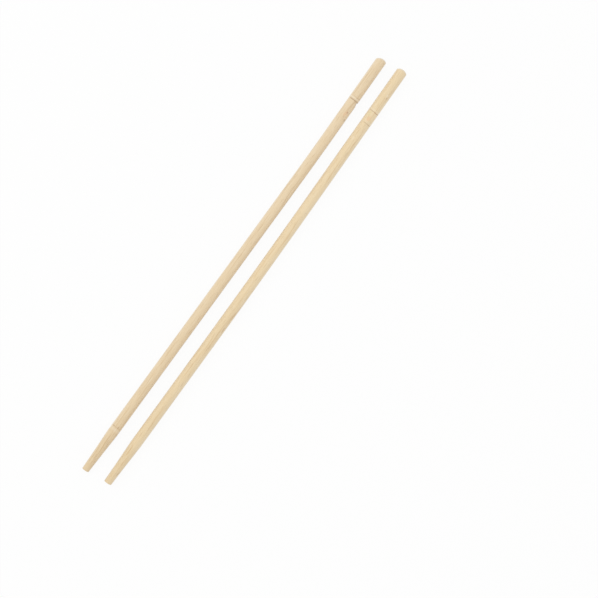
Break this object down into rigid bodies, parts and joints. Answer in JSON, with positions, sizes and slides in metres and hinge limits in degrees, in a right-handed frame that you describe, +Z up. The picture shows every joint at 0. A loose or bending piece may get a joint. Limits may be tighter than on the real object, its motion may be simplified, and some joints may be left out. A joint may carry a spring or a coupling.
{
  "type": "bamboo chopsticks",
  "caption": "Pair of round bamboo chopsticks with domed head ends, gently bowed shanks and short tapered tips, lying side by side.",
  "frame": {"origin": "on the table, under the middle of the pair", "axes": "+X along the sticks towards their head ends, +Y towards the left stick, +Z up"},
  "size_m": [0.211, 0.0154, 0.0047],
  "materials": {
    "bamboo": "dry sanded bamboo, uncoated, matt"
  },
  "bodies": {
    "root": {"left_chopstick": "bamboo", "right_chopstick": "bamboo"}
  },
  "joints": []
}
